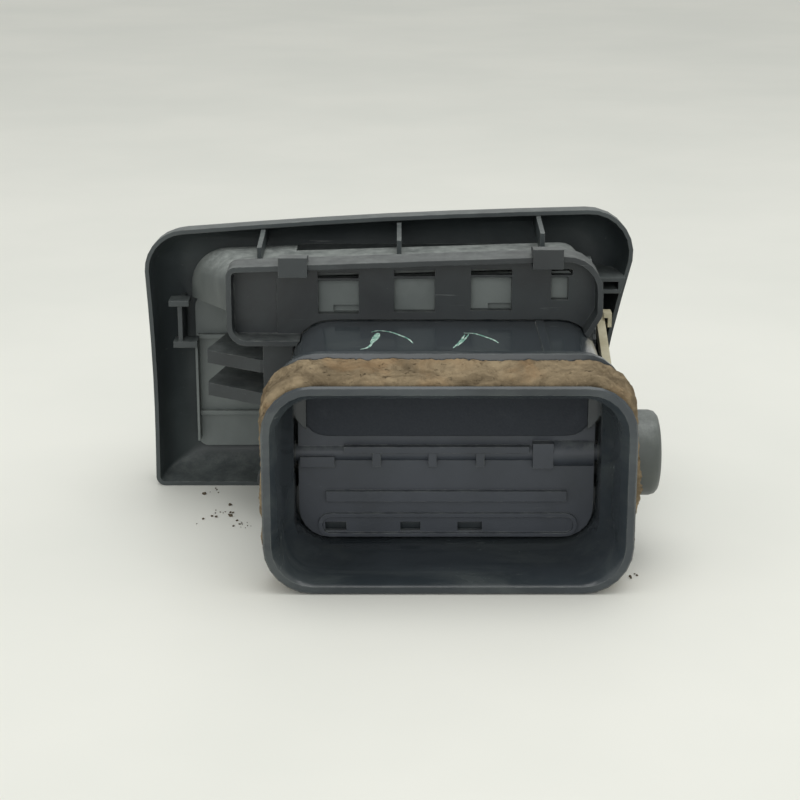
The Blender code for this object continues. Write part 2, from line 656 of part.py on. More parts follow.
def make_damper_link():
    """Link between the thumbwheel and the drive wheel, with an eye at each end and a hooked tab."""
    far, near = Vector(crank_point(THUMB)), Vector(crank_point(DAMPER))
    along = (far - near).normalized()
    across = Vector((-along.y, along.x))
    waist = near.lerp(far, 0.6)
    outline = [
        near - across * 2.0,
        waist - across * 2.2,
        far - across * 2.0,
        far + across * 2.0,
        waist + across * 2.2,
        near + across * 2.0,
    ]
    link = plate("damper_link", [[tuple(p) for p in outline]], "X", LINK_X, "natural_acetal")
    for label, point in (("near", near), ("far", far)):
        join(link, cylinder(f"link_eye_{label}", "X", point, LINK_X, 3.0, segments=24))
    tab_z = far.y + 1.4
    tab_y = (far.x - 4.6, far.x + 0.6)
    join(link, box("link_tab", (LINK_X[1] - 0.5, 52.6), tab_y, (tab_z, tab_z + 1.5)))
    join(link, box("link_tab_lip", (51.4, 52.6), tab_y, (tab_z - 3.0, tab_z + 0.5)))
    for label, point in (("near", near), ("far", far)):
        cut(link, cylinder(f"link_hole_{label}", "X", point, (40.0, 52.0), 1.5 + GAP, segments=16))
    return link


def make_thumbwheel():
    """Knurled wheel with lightening holes and a crank pin."""
    teeth = 44
    rim = []
    for i in range(teeth):
        for share, drop in ((0.0, 0.6), (0.5, 0.0)):
            turn = 2 * math.pi * (i + share) / teeth
            radius = THUMB_RADIUS - drop
            rim.append((THUMB[0] + radius * math.cos(turn), THUMB[1] + radius * math.sin(turn)))
    bore = circle(THUMB, 2.0 + GAP, 20)
    wheel = plate("thumbwheel", [rim, bore], "X", (43.6, 46.6), "trim_plastic")
    join(wheel, cylinder("thumb_pin", "X", crank_point(THUMB), (46.2, LINK_X[1] + 0.3), 1.5, segments=16))
    for i in range(5):
        turn = LINK_ANGLE + math.radians(60 * (i + 1))
        place = (THUMB[0] + 13.0 * math.cos(turn), THUMB[1] + 13.0 * math.sin(turn))
        cut(wheel, cylinder(f"lightening_{i}", "X", place, (42.0, 48.0), 4.2, segments=20))
    return wheel


def make_thumbwheel_pin():
    pin = cylinder("thumbwheel_pin", "X", THUMB, (40.7, 47.0), 2.0, "steel", 20)
    return smooth(join(pin, cylinder("pin_head", "X", THUMB, (46.9, 47.6), 2.8, segments=20)))


# ---------------------------------------------------------------- louvres


def blade_profile(level):
    """Rounded, slightly tapered cross-section of a horizontal louvre."""
    rear, front = BLADE_PIVOT_Y - BLADE_CHORD / 2, BLADE_PIVOT_Y + BLADE_CHORD / 2
    return [
        (rear, level - 0.5),
        (rear + 1.2, level - 0.9),
        (BLADE_PIVOT_Y, level - 1.1),
        (front - 1.2, level - 1.2),
        (front - 0.3, level - 0.8),
        (front, level),
        (front - 0.3, level + 0.8),
        (front - 1.2, level + 1.2),
        (BLADE_PIVOT_Y, level + 1.1),
        (rear + 1.2, level + 0.9),
        (rear, level + 0.5),
    ]


def make_blade(number, level):
    blade = plate(f"louvre_blade_{number}", [blade_profile(level)], "X", BLADE_X, "trim_plastic")
    axis = (BLADE_PIVOT_Y, level)
    join(blade, cylinder(f"blade_axle_{number}", "X", axis, (-48.9, 39.9), 1.0, segments=12))
    crank = (BLADE_PIVOT_Y - CRANK, level)
    join(blade, cylinder(f"blade_crank_{number}", "X", crank, (-48.9, -45.0), 0.8, segments=12))
    return blade


def make_blade_carrier(name, x):
    holes = [circle((BLADE_PIVOT_Y, level), 1.0 + GAP, 12) for level in BLADE_LEVELS]
    outline = rectangle(90.3, 96.9, 24.4, 71.6)
    return plate(name, [outline, *holes], "X", x, "housing_plastic")


def make_blade_link():
    crank_y = BLADE_PIVOT_Y - CRANK
    holes = [circle((crank_y, level), 0.8 + GAP, 12) for level in BLADE_LEVELS]
    height = (BLADE_LEVELS[0] - 2.2, BLADE_LEVELS[-1] + 2.2)
    outline = rounded_rectangle((crank_y - 2.0, crank_y + 2.0, *height), 1.8)
    return plate("blade_link", [outline, *holes], "X", (-48.7, -47.1), "natural_acetal")


def make_vane(number, x):
    """Vertical vane with pivot pins and a crank pin; the middle one has a bar for the knob's fork."""
    rear, front = VANE_Y
    if number == 3:
        notch = (37.0, 61.0)
        outline = [
            (rear, VANE_Z[0]),
            (front, VANE_Z[0]),
            (front, notch[0] - 3.0),
            (VANE_PIVOT_Y + STEER_RADIUS + 0.9, notch[0] - 2.0),
            (VANE_PIVOT_Y + STEER_RADIUS + 0.9, notch[1] + 2.0),
            (front, notch[1] + 3.0),
            (front, VANE_Z[1]),
            (rear, VANE_Z[1]),
        ]
        hole = rectangle(76.2, VANE_PIVOT_Y + STEER_RADIUS - 0.9, *notch)
        loops = [outline, hole]
    else:
        loops = [rectangle(rear, front, *VANE_Z)]
    vane = plate(f"steering_vane_{number}", loops, "X", (x - 0.9, x + 0.9), "trim_plastic")
    pivot = (x, VANE_PIVOT_Y)
    join(vane, cylinder(f"vane_axle_upper_{number}", "Z", pivot, (73.0, 76.5), 1.2, segments=12))
    join(vane, cylinder(f"vane_axle_lower_{number}", "Z", pivot, (10.6, 18.0), 1.2, segments=12))
    crank = (x, VANE_PIVOT_Y - CRANK)
    join(vane, cylinder(f"vane_crank_{number}", "Z", crank, (13.8, 18.0), 0.8, segments=12))
    return vane


def make_vane_rail(name, z):
    holes = [circle((x, VANE_PIVOT_Y), 1.2 + GAP, 12) for x in VANE_PLACES]
    outline = rectangle(-46.8, 37.8, 68.8, 75.2)
    return plate(name, [outline, *holes], "Z", z, "housing_plastic")


def make_vane_link():
    crank_y = VANE_PIVOT_Y - CRANK
    holes = [circle((x, crank_y), 0.8 + GAP, 12) for x in VANE_PLACES]
    width = (VANE_PLACES[0] - 2.4, VANE_PLACES[-1] + 2.4)
    outline = rounded_rectangle((*width, crank_y - 2.0, crank_y + 2.0), 1.8)
    return plate("vane_link", [outline, *holes], "Z", (14.3, 15.9), "natural_acetal")


def make_knob():
    """Knob that slides on the middle louvre, with a fork that steers the vertical vanes."""
    level = BLADE_LEVELS[2]
    width = (CENTRE_X - 7.0, CENTRE_X + 7.0)
    knob = box("control_knob", width, (94.0, 104.0), (level - 4.0, level + 4.0), "trim_plastic")
    knob_slot = box("knob_slot", (CENTRE_X - 9, CENTRE_X + 9), (92.0, 100.5), (level - 1.6, level + 1.6))
    for side in (-1, 1):
        inner, outer = CENTRE_X + side * 1.4, CENTRE_X + side * 3.0
        tine = box(f"tine_{side}", (min(inner, outer), max(inner, outer)), (77.4, 95.0), (49.7, 52.0))
        join(knob, tine)
    cut(knob, knob_slot)
    for i, z in enumerate((level - 2.4, level, level + 2.4)):
        groove_width = (CENTRE_X - 5.4, CENTRE_X + 5.4)
        cut(knob, box(f"knob_groove_{i}", groove_width, (103.4, 105.0), (z - 0.4, z + 0.4)))
    return knob


# ---------------------------------------------------------------- assembly


def build():
    make_fascia()
    make_blank_panel()
    make_opening_ring()
    make_barrel()
    make_collar()
    make_deflector()
    make_retaining_clip("retaining_clip_left", (-49.3, -40.8))
    make_retaining_clip("retaining_clip_right", (25.4, 34.4))
    for side, (x, z) in SCREW_PLACES.items():
        make_screw(f"collar_screw_{side}", x, z, PLATE_Y[0] - GAP, 70.0)
    for side, x in (("left", -30.0), ("right", 21.0)):
        make_screw(f"fascia_screw_{side}", x, 12.0, 96.9 - GAP, 106.0)
    make_duct()
    make_foam_seal()
    make_damper_flap()
    upper = rounded_rectangle((FLAP[0] + 1.0, FLAP[1] - 1.0, DAMPER[1] + 5.6, FLAP[3] - 0.9), 7.6, arc=5)
    lower = rounded_rectangle((FLAP[0] + 1.0, FLAP[1] - 1.0, 12.0, DAMPER[1] - 5.6), 3.0, arc=5)
    make_damper_seal("damper_seal_upper", upper, -1)
    make_damper_seal("damper_seal_lower", lower, 1)
    make_bush("damper_bush_left", -1)
    make_bush("damper_bush_right", 1)
    make_damper_wheel()
    make_damper_link()
    make_thumbwheel()
    make_thumbwheel_pin()
    for number, level in enumerate(BLADE_LEVELS, 1):
        make_blade(number, level)
    make_blade_carrier("blade_carrier_left", (-49.2, -46.6))
    make_blade_carrier("blade_carrier_right", (37.6, 40.2))
    make_blade_link()
    for number, x in enumerate(VANE_PLACES, 1):
        make_vane(number, x)
    make_vane_rail("vane_rail_upper", (74.4, 76.8))
    make_vane_rail("vane_rail_lower", (10.4, 13.0))
    make_vane_link()
    make_knob()


def make_empty(name, place, parent=None):
    empty = bpy.data.objects.new(name, None)
    empty.location = Vector(place) * MM
    PARTS.objects.link(empty)
    if parent is not None:
        hang(empty, parent)
    return empty


def world_matrix(obj):
    """World matrix worked out from the chain of parents."""
    if obj.parent is None:
        return obj.matrix_basis.copy()
    return world_matrix(obj.parent) @ obj.matrix_parent_inverse @ obj.matrix_basis


def hang(obj, parent):
    """Parents obj without moving it."""
    obj.parent = parent
    obj.matrix_parent_inverse = world_matrix(parent).inverted()


def hang_helpers():
    """Parents each Boolean helper to the piece it shapes."""
    for obj in [*PARTS.objects, *CUTTERS.objects]:
        for modifier in obj.modifiers:
            if modifier.type == "BOOLEAN" and modifier.object.parent is None:
                hang(modifier.object, obj)


def set_axes():
    """Hangs each moving piece from an empty on its joint's axis."""
    level = BLADE_LEVELS[2]
    link_x = sum(LINK_X) / 2
    hang_from("thumbwheel_axis", (45.1, *THUMB), ["thumbwheel"])
    hang_from("damper_link_axis", (link_x, *crank_point(THUMB)), ["damper_link"], "thumbwheel_axis")
    flap = ["damper_flap", "damper_seal_upper", "damper_seal_lower", "damper_wheel"]
    hang_from("damper_axis", (0.0, *DAMPER), flap)
    for number, z in enumerate(BLADE_LEVELS, 1):
        hang_from(f"blade_{number}_axis", (CENTRE_X, BLADE_PIVOT_Y, z), [f"louvre_blade_{number}"])
    hang_from("blade_link_axis", (-47.9, BLADE_PIVOT_Y - CRANK, level), ["blade_link"], "blade_3_axis")
    hang_from("knob_slide", (CENTRE_X, BLADE_PIVOT_Y, level), ["control_knob"], "blade_3_axis")
    for number, x in enumerate(VANE_PLACES, 1):
        hang_from(f"vane_{number}_axis", (x, VANE_PIVOT_Y, sum(VANE_Z) / 2), [f"steering_vane_{number}"])
    hang_from("vane_link_axis", (CENTRE_X, VANE_PIVOT_Y - CRANK, 15.1), ["vane_link"], "vane_3_axis")


def hang_from(name, place, pieces, parent=None):
    empty = make_empty(name, place, PARTS.objects[parent] if parent else None)
    for piece in pieces:
        hang(PARTS.objects[piece], empty)


def set_origin():
    """Moves the whole part so that the origin is the centre of its base."""
    origin = make_empty("side_air_vent_origin", ORIGIN_SHIFT)
    for obj in PARTS.objects:
        if obj is not origin and obj.parent is None:
            obj.parent = origin


build()
hang_helpers()
set_axes()
set_origin()
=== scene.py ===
"""Looks of a dashboard side air vent that stands on a pale table with its duct mouth towards the camera.

Lengths are in millimetres where a value is multiplied by MM, and in metres elsewhere.
"""

import math
import random

import bmesh
import bpy
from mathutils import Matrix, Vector, noise


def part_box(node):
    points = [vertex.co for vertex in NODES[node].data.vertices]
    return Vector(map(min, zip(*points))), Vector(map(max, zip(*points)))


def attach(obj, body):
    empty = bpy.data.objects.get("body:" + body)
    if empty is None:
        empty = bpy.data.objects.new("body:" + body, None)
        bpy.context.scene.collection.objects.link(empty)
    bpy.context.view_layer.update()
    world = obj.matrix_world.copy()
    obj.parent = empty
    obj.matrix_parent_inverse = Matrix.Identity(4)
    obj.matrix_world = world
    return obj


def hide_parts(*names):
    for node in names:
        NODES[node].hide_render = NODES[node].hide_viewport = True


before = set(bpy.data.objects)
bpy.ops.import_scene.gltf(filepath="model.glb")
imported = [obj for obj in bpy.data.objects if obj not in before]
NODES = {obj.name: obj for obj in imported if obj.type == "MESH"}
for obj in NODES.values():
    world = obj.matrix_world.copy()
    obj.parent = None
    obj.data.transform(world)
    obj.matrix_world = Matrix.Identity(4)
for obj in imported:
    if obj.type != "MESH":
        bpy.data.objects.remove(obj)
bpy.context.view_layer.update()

MM = 0.001

# Camera, table and light. A lamp is its place, target, size and power in watts.
CAMERA_PLACE = (0.00285, -0.55143, 0.20881)
CAMERA_TURN = (73.0, 0.0, 0.0)
CAMERA_LENS = 85.5
TABLE_SIZE = 12.0
TABLE_DROP = 0.00003
WORLD_COLOUR = (0.985, 0.995, 0.965)
WORLD_STRENGTH = 0.66
LAMPS = {
    "overhead": ((0.10, -0.05, 1.00), (0.0, 0.0, 0.03), 0.9, 4.2),
    "front_fill": ((-0.20, -2.20, 0.80), (0.0, 0.0, 0.04), 1.4, 11.0),
}

# Foam gasket: depths of the foam on the duct, front and back, as (sides, bottom, top)
FOAM_FRONT = (3.4, 1.7, 3.6)
FOAM_BACK = (3.6, 1.1, 2.6)
FOAM_FRONT_DROP = 3.8
FOAM_RADIUS = 15.0
FOAM_STEP = 0.45
FOAM_ACROSS = 26
FOAM_TORN_Z = 31.0
FOAM_SHRINK = 0.75

# Closed-cell pads on the damper flap
PAD_VOXEL = 0.42

# Shading of the CAD nodes
BEVEL_SAMPLES = 4
WELD_DISTANCE = 0.00001
SHARP_ANGLE = 32.0

# Chalk strokes and two thin pale arcs in the same finish on top of the duct, as (X, Y) points in the row
# frame
CHALK_LIFT = 0.06
RIDGE_HEIGHT = 1.8
CHALK_MARKS = {
    "pale_arc_left": (
        0.75,
        [(-5.6, -11.6), (-3.4, -9.9), (0.2, -11.6), (3.0, -15.4), (5.2, -19.0), (6.6, -24.0)],
    ),
    "chalk_hatch_left": (2.0, [(-3.6, -12.6), (-3.9, -15.6), (-4.5, -19.4), (-5.4, -23.6)]),
    "chalk_tail_left": (0.8, [(-4.9, -22.4), (-6.2, -28.2), (-8.4, -30.6)]),
    "pale_arc_right": (0.75, [(21.6, -12.6), (24.8, -13.3), (27.8, -17.0), (30.0, -20.4), (31.2, -23.6)]),
    "chalk_stroke_right_1": (0.7, [(18.0, -29.2), (20.2, -22.2), (21.8, -14.4)]),
    "chalk_stroke_right_2": (0.6, [(19.3, -27.0), (21.4, -20.4), (23.0, -14.0)]),
}

# Loose crumbs on the table: (X, Y, spread, count)
CRUMB_HEAPS = [
    (-58.5, 30.0, 5.0, 5),
    (-52.0, 10.0, 4.5, 9),
    (-46.5, -1.0, 4.0, 12),
    (-56.0, 3.0, 12.0, 6),
    (70.0, -42.0, 3.0, 6),
]


def linear(*values):
    """Scene-linear colour of an sRGB colour given from 0 to 255."""
    shares = [v / 255.0 for v in values]
    return tuple(s / 12.92 if s <= 0.04045 else ((s + 0.055) / 1.055) ** 2.4 for s in shares) + (1.0,)


class Shader:
    """Short ways to build the node tree of one material."""

    def __init__(self, name):
        self.material = bpy.data.materials.new(name)
        self.material.use_nodes = True
        self.tree = self.material.node_tree
        self.principled = self.tree.nodes["Principled BSDF"]
        self.place = self.add("ShaderNodeTexCoord").outputs["Object"]
        self.normal = self.add("ShaderNodeNewGeometry").outputs["Normal"]

    def add(self, kind, inputs=None, **settings):
        """A node with its settings, whose inputs are sockets to link or plain values."""
        node = self.tree.nodes.new(kind)
        for key, value in settings.items():
            setattr(node, key, value)
        for key, value in (inputs or {}).items():
            self.feed(node.inputs[key], value)
        return node

    def feed(self, socket, value):
        if isinstance(value, bpy.types.NodeSocket):
            self.tree.links.new(value, socket)
        else:
            socket.default_value = value

    def stretched(self, scale, turn=(0.0, 0.0, 0.0)):
        inputs = {"Vector": self.place, "Scale": scale, "Rotation": turn}
        return self.add("ShaderNodeMapping", inputs).outputs["Vector"]

    def noise(self, scale, detail=4.0, rough=0.55, distortion=0.0, place=None):
        """Noise with that many features a metre."""
        inputs = {"Vector": place or self.place, "Scale": scale, "Detail": detail}
        inputs.update({"Roughness": rough, "Distortion": distortion})
        return self.add("ShaderNodeTexNoise", inputs).outputs["Fac"]

    def math(self, operation, first, second=0.0, clamp=False):
        node = self.add("ShaderNodeMath", {0: first, 1: second}, operation=operation, use_clamp=clamp)
        return node.outputs["Value"]

    def ramp(self, value, low, high, to_low=0.0, to_high=1.0):
        """Smooth step of a value between low and high."""
        inputs = {"Value": value, "From Min": low, "From Max": high, "To Min": to_low, "To Max": to_high}
        node = self.add("ShaderNodeMapRange", inputs, interpolation_type="SMOOTHSTEP")
        return node.outputs["Result"]

    def mix(self, share, first, second):
        node = self.add("ShaderNodeMix", data_type="RGBA")
        for key, value in (("Factor_Float", share), ("A_Color", first), ("B_Color", second)):
            socket = next(s for s in node.inputs if s.identifier == key)
            self.feed(socket, value)
        return next(s for s in node.outputs if s.identifier == "Result_Color")

    def blend(self, share, first, second):
        """A value that goes from first to second."""
        inputs = {"Value": share, "To Min": first, "To Max": second}
        return self.add("ShaderNodeMapRange", inputs).outputs["Result"]

    def facing_up(self):
        """1 on faces that look up, 0 on walls."""
        height = self.add("ShaderNodeSeparateXYZ", {"Vector": self.normal}).outputs["Z"]
        return self.ramp(height, 0.25, 0.9)

    def edges(self, radius):
        """1 along outer and inner edges within a radius in millimetres."""
        bevel = self.add("ShaderNodeBevel", {"Radius": radius * MM}, samples=BEVEL_SAMPLES)
        round_normal = bevel.outputs["Normal"]
        product = self.add("ShaderNodeVectorMath", {0: round_normal, 1: self.normal}, operation="DOT_PRODUCT")
        return self.ramp(product.outputs["Value"], 0.995, 0.86)

    def bump(self, height, depth, strength=1.0, edge_radius=0.0, under=None):
        """A normal raised by a height of 0 to 1 times a depth in millimetres."""
        inputs = {"Height": height, "Distance": depth * MM, "Strength": strength}
        if edge_radius:
            bevel = self.add("ShaderNodeBevel", {"Radius": edge_radius * MM}, samples=BEVEL_SAMPLES)
            inputs["Normal"] = bevel.outputs["Normal"]
        if under is not None:
            inputs["Normal"] = under
        return self.add("ShaderNodeBump", inputs).outputs["Normal"]

    def finish(self, colour, roughness, normal, metallic=0.0, specular=0.5):
        self.feed(self.principled.inputs["Base Color"], colour)
        self.feed(self.principled.inputs["Roughness"], roughness)
        self.feed(self.principled.inputs["Normal"], normal)
        self.principled.inputs["Metallic"].default_value = metallic
        self.principled.inputs["Specular IOR Level"].default_value = specular
        return self.material


def moulded_plastic(name, dark, light, rough, grain, dust, dust_colour, wear=0.35, edge=0.3):
    """Moulded plastic: mottled colour, fine grain, dust on top faces, scuffed edges and light scratches."""
    s = Shader(name)
    mottle = s.noise(38.0, 5.0, 0.6, 0.4)
    colour = s.mix(s.ramp(mottle, 0.3, 0.72), dark, light)
    streaks = s.noise(30.0, 6.0, 0.65, 0.2, s.stretched((1.0, 9.0, 22.0), (0.2, 0.1, 0.5)))
    scratches = s.ramp(streaks, 0.66, 0.72)
    colour = s.mix(s.math("MULTIPLY", scratches, 0.22), colour, dust_colour)
    patches = s.noise(230.0, 8.0, 0.72)
    specks = s.noise(1500.0, 3.0, 0.6)
    settled = s.math("MULTIPLY", s.facing_up(), s.ramp(patches, 0.2, 0.8))
    settled = s.math("MULTIPLY", settled, s.blend(specks, 0.45, 1.45), clamp=True)
    settled = s.math("MULTIPLY", settled, dust, clamp=True)
    loose = s.ramp(s.noise(420.0, 6.0, 0.7), 0.66, 0.74)
    settled = s.math("MAXIMUM", settled, s.math("MULTIPLY", loose, 0.12))
    worn = s.math("MULTIPLY", s.edges(0.35), s.ramp(patches, 0.38, 0.7))
    colour = s.mix(s.math("MULTIPLY", worn, wear), colour, dust_colour)
    colour = s.mix(settled, colour, dust_colour)
    roughness = s.blend(mottle, rough - 0.06, rough + 0.08)
    roughness = s.math("ADD", roughness, s.math("MULTIPLY", settled, 0.35), clamp=True)
    fine = s.noise(2600.0, 3.0, 0.6)
    height = s.math("ADD", fine, s.math("MULTIPLY", settled, 0.6))
    return s.finish(colour, roughness, s.bump(height, grain, edge_radius=edge))


def glossy_duct(name, dark, light, dust_colour):
    """Smooth blow-moulded plastic: nearly mirror-like, with wipe marks, hairline scratches and dust."""
    s = Shader(name)
    mottle = s.noise(26.0, 4.0, 0.5, 0.3)
    colour = s.mix(s.ramp(mottle, 0.3, 0.7), dark, light)
    wiped = s.noise(22.0, 7.0, 0.62, 0.6, s.stretched((1.0, 2.4, 3.0), (0.0, 0.0, 0.35)))
    hair = s.noise(60.0, 8.0, 0.7, 1.2, s.stretched((1.0, 14.0, 14.0), (0.0, 0.0, 0.6)))
    hairlines = s.ramp(hair, 0.67, 0.70)
    crossed = s.noise(55.0, 8.0, 0.7, 1.0, s.stretched((12.0, 1.0, 12.0), (0.0, 0.0, -0.3)))
    hairlines = s.math("MAXIMUM", hairlines, s.ramp(crossed, 0.69, 0.72))
    specks = s.ramp(s.noise(700.0, 5.0, 0.65), 0.68, 0.76)
    film = s.math("MULTIPLY", s.ramp(wiped, 0.45, 0.75), 0.10)
    film = s.math("ADD", film, s.math("MULTIPLY", hairlines, 0.22))
    film = s.math("ADD", film, s.math("MULTIPLY", specks, 0.16), clamp=True)
    worn = s.math("MULTIPLY", s.edges(0.4), s.ramp(s.noise(190.0, 6.0, 0.7), 0.35, 0.68))
    colour = s.mix(s.math("MULTIPLY", worn, 0.4), colour, dust_colour)
    colour = s.mix(film, colour, dust_colour)
    roughness = s.blend(wiped, 0.10, 0.24)
    roughness = s.math("ADD", roughness, s.math("MULTIPLY", film, 0.9), clamp=True)
    ripple = s.noise(75.0, 2.0, 0.4)
    smooth = s.bump(ripple, 0.12, 0.5, edge_radius=0.45)
    return s.finish(colour, roughness, s.bump(s.noise(2400.0, 2.0), 0.006, 0.4, under=smooth))


def acetal(name, pale, stained):
    """Unpainted acetal: cream, slightly stained in patches, with a waxy shine."""
    s = Shader(name)
    stain = s.noise(120.0, 6.0, 0.65)
    colour = s.mix(s.ramp(stain, 0.35, 0.75), pale, stained)
    grime = s.math("MULTIPLY", s.ramp(s.noise(900.0, 5.0, 0.7), 0.62, 0.75), 0.35)
    colour = s.mix(grime, colour, linear(92, 86, 70))
    return s.finish(colour, s.blend(stain, 0.34, 0.5), s.bump(s.noise(1900.0, 3.0), 0.02, edge_radius=0.3))


def zinc_steel(name):
    """Passivated steel screw: brushed turning lines and a few dull spots."""
    s = Shader(name)
    lines = s.noise(1500.0, 4.0, 0.6, 0.0, s.stretched((1.0, 0.05, 1.0)))
    dull = s.ramp(s.noise(450.0, 5.0, 0.7), 0.5, 0.7)
    colour = s.mix(dull, linear(168, 166, 156), linear(112, 106, 92))
    roughness = s.math("ADD", s.blend(lines, 0.24, 0.42), s.math("MULTIPLY", dull, 0.2))
    return s.finish(colour, roughness, s.bump(lines, 0.02, edge_radius=0.2), metallic=1.0)


def aged_foam(name):
    """Old open-cell foam: brown skin, paler ridges that are a painted highlight, and dark pits and crevices
    that are painted shade.
    """
    s = Shader(name)
    streaked = s.stretched((1.0, 1.9, 1.6))
    broad = s.noise(85.0, 7.0, 0.68, 0.8, streaked)
    cells = s.noise(900.0, 4.0, 0.7)
    colour = s.mix(s.ramp(broad, 0.3, 0.7), linear(96, 84, 66), linear(150, 134, 108))
    rust = s.ramp(s.noise(60.0, 4.0, 0.6, 0.5), 0.48, 0.7)
    colour = s.mix(s.math("MULTIPLY", rust, 0.35), colour, linear(150, 120, 86))
    # Painted shade: the pits, which the bump sinks, are darkened
    pits = s.ramp(s.noise(330.0, 6.0, 0.72, 0.4, streaked), 0.6, 0.72)
    colour = s.mix(s.math("MULTIPLY", pits, 0.75), colour, linear(60, 51, 41))
    # Painted highlight: the raised cells, which the bump lifts, are lightened
    pale = s.ramp(cells, 0.58, 0.75)
    colour = s.mix(s.math("MULTIPLY", pale, 0.35), colour, linear(176, 158, 128))
    height = s.math("SUBTRACT", cells, s.math("MULTIPLY", pits, 0.8))
    return s.finish(colour, s.blend(cells, 0.88, 1.0), s.bump(height, 0.35), specular=0.15)


def soft_pad(name):
    """Closed-cell foam pad: near black, with fine cells and a few grey scuffs."""
    s = Shader(name)
    cells = s.add("ShaderNodeTexVoronoi", {"Vector": s.place, "Scale": 1500.0}).outputs["Distance"]
    scuff = s.ramp(s.noise(70.0, 7.0, 0.7, 0.5), 0.55, 0.75)
    colour = s.mix(s.math("MULTIPLY", scuff, 0.4), linear(50, 54, 60), linear(70, 75, 81))
    return s.finish(colour, s.blend(cells, 0.72, 0.9), s.bump(cells, 0.06), specular=0.3)


def chalk(name):
    """Waxy pale green marking crayon, broken up where it skipped."""
    s = Shader(name)
    skip = s.noise(900.0, 5.0, 0.7, 0.0, s.stretched((1.0, 0.4, 1.0)))
    colour = s.mix(s.ramp(skip, 0.4, 0.62), linear(96, 146, 130), linear(190, 214, 202))
    return s.finish(colour, s.blend(skip, 0.6, 0.85), s.bump(skip, 0.08))


def table_top(name):
    """Pale laminate table, faintly uneven in tone, with a few faint marks."""
    s = Shader(name)
    tone = s.noise(5.0, 4.0, 0.55)
    colour = s.mix(s.ramp(tone, 0.25, 0.75), linear(228, 229, 222), linear(236, 236, 229))
    marks = s.noise(16.0, 8.0, 0.7, 1.5, s.stretched((1.0, 8.0, 1.0), (0.0, 0.0, 0.4)))
    faint = s.math("MULTIPLY", s.ramp(marks, 0.69, 0.73), 0.18)
    colour = s.mix(faint, colour, linear(196, 195, 186))
    return s.finish(colour, s.blend(tone, 0.42, 0.55), s.bump(s.noise(900.0, 3.0), 0.01), specular=0.3)


def dark_crumb(name):
    """Crumbled foam."""
    s = Shader(name)
    colour = s.mix(s.noise(1500.0, 4.0), linear(52, 48, 42), linear(112, 100, 82))
    return s.finish(colour, s.blend(s.noise(900.0), 0.8, 1.0), s.bump(s.noise(2500.0), 0.05), specular=0.2)


DUST = linear(178, 184, 180)
DUCT_DUST = linear(150, 158, 152)


def make_finishes():
    """The finish of each CAD node, by node name, with a fallback for the rest."""
    trim = moulded_plastic("trim", linear(50, 56, 58), linear(64, 71, 72), 0.46, 0.018, 0.25, DUST)
    # Painted light: a much lighter copy of the black plastic, so the blank panel and the upper deflector look
    # lit
    painted_lit_plastic = moulded_plastic("painted_lit_plastic", linear(104, 111, 110), linear(124, 131, 129), 0.5, 0.014, 0.5, DUST, 0.3)
    housing = moulded_plastic("housing", linear(36, 40, 43), linear(52, 58, 60), 0.42, 0.014, 0.28, DUST)
    barrel = moulded_plastic("barrel", linear(72, 77, 77), linear(104, 109, 107), 0.5, 0.06, 0.65, DUST)
    # Painted light: the damper flap's plastic is painted lighter and bluer than the black plastic, standing
    # in for the hazy light inside the duct
    flap = moulded_plastic("flap", linear(54, 59, 66), linear(66, 71, 79), 0.5, 0.014, 0.3, DUST)
    wheel = moulded_plastic("wheel", linear(66, 71, 69), linear(84, 89, 86), 0.38, 0.012, 0.35, DUST)
    duct = glossy_duct("duct", linear(44, 50, 54), linear(56, 62, 67), DUCT_DUST)
    cream = acetal("cream", linear(188, 182, 156), linear(158, 150, 122))
    steel = zinc_steel("steel")
    named = {
        "fascia": trim,
        "opening_ring": trim,
        "blank_panel": painted_lit_plastic,
        "barrel": barrel,
        "upper_deflector": painted_lit_plastic,
        "control_knob": trim,
        "air_duct": duct,
        "damper_flap": flap,
        "damper_wheel": wheel,
        "damper_link": cream,
        "blade_link": cream,
        "vane_link": cream,
        "thumbwheel_pin": steel,
    }
    named.update({node: steel for node in NODES if "screw" in node})
    return named, housing


def dress_cad_nodes():
    """Puts a finish on every CAD node and rounds its shading without moving a vertex."""
    named, fallback = make_finishes()
    for node, obj in NODES.items():
        finish = named.get(node, fallback)
        for material_slot in obj.material_slots:
            material_slot.material = finish
        obj.data.attributes.remove(obj.data.attributes["custom_normal"])
        obj.data.shade_smooth()
        weld = obj.modifiers.new("weld", "WELD")
        weld.merge_threshold = WELD_DISTANCE
        split = obj.modifiers.new("edge_split", "EDGE_SPLIT")
        split.split_angle = math.radians(SHARP_ANGLE)
        split.use_edge_sharp = False


def new_piece(name, mesh, finish):
    obj = bpy.data.objects.new(name, mesh)
    bpy.context.scene.collection.objects.link(obj)
    mesh.materials.append(finish)
    mesh.shade_smooth()
    return obj


def mesh_from(name, bm):
    mesh = bpy.data.meshes.new(name)
    bmesh.ops.recalc_face_normals(bm, faces=bm.faces)
    bm.to_mesh(mesh)
    bm.free()
    return mesh


